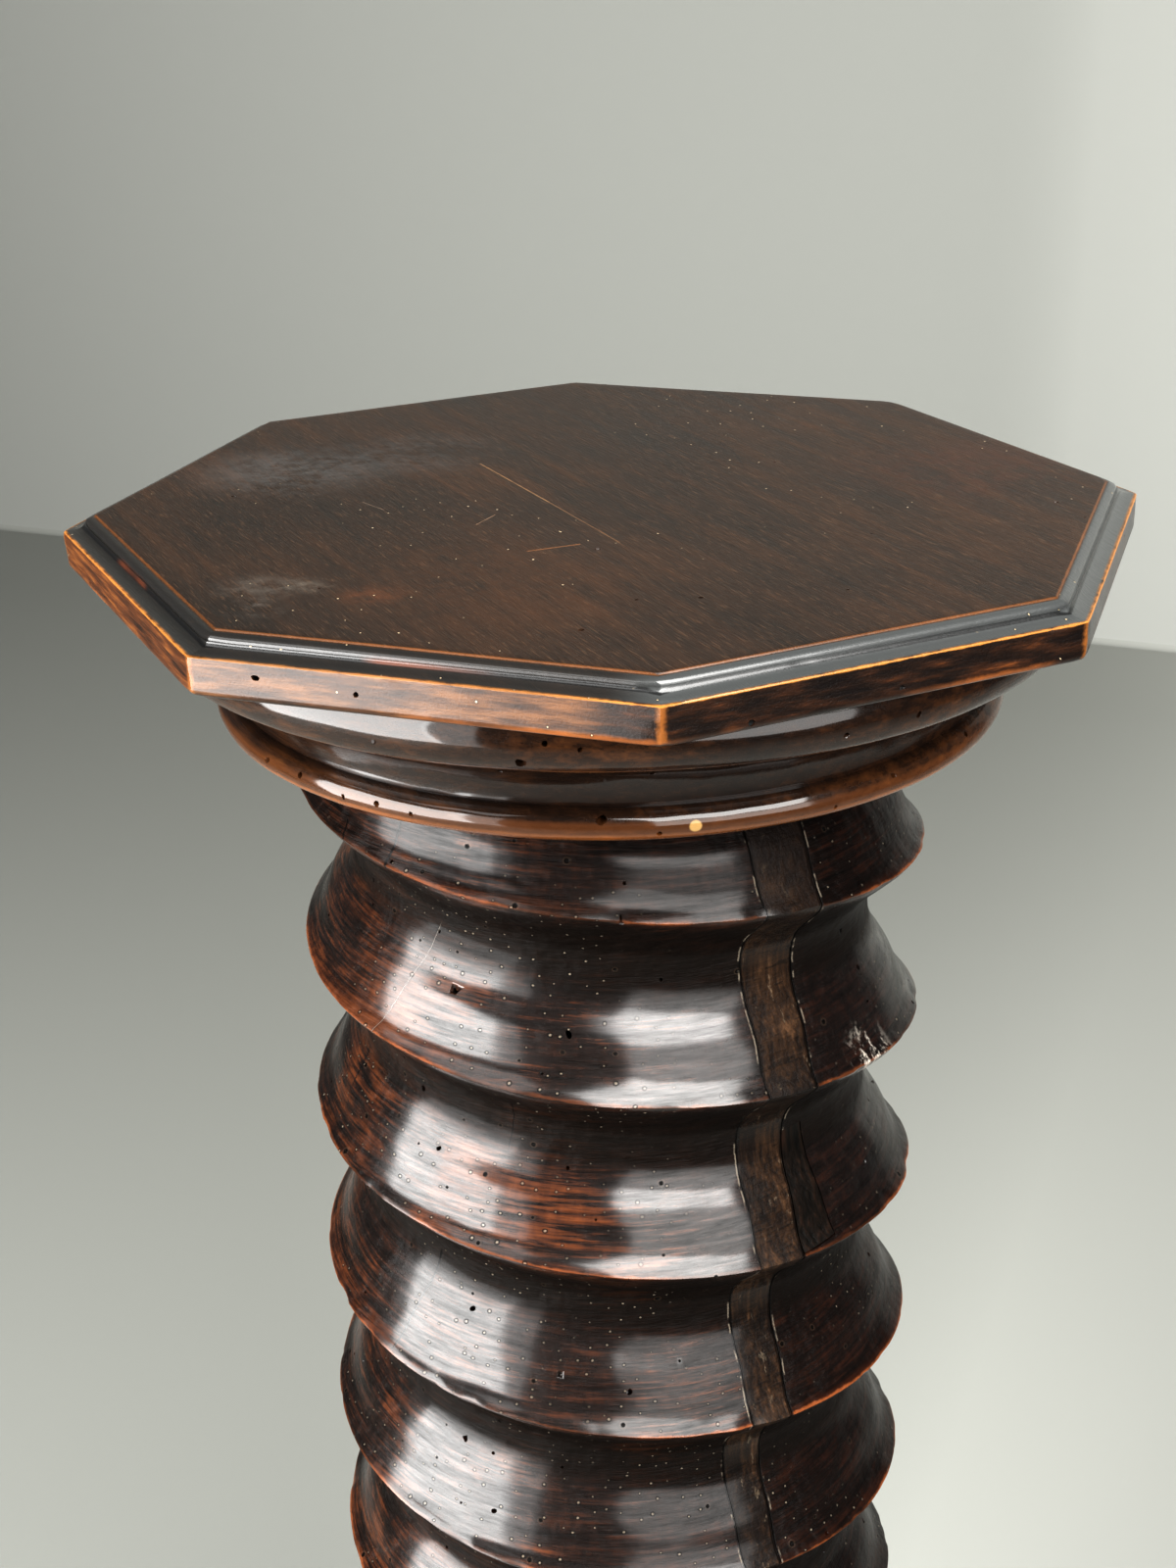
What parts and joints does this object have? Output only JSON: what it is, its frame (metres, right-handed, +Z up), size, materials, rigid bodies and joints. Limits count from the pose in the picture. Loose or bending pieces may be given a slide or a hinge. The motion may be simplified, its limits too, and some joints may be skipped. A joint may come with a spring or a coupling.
{
  "type": "wine press screw pedestal",
  "caption": "Tall pedestal made from an old wooden press screw, with an octagonal moulded top, turned capital and base mouldings and an octagonal plinth.",
  "frame": {"origin": "centre of the plinth's underside", "axes": "+Z up along the screw's axis, X and Y square to sides of the octagon"},
  "size_m": [0.3608, 0.3608, 1.1],
  "materials": {
    "polished_top": "dark walnut, glossy wax and shellac polish, worn to orange at the corners",
    "turned_moulding": "brown walnut, polished, black in the hollows",
    "old_screw": "very dark red-brown wood, glossy, worm holes, orange worn crest",
    "let_in_strip": "greyer and duller filling strip",
    "dark_wedge": "nearly black wood"
  },
  "bodies": {
    "root": {"top_slab": "polished_top", "capital": "turned_moulding", "screw_shaft": "old_screw", "crack_filler": "let_in_strip", "wedge_patch": "dark_wedge", "base_moulding": "turned_moulding", "plinth": "polished_top"}
  },
  "joints": []
}
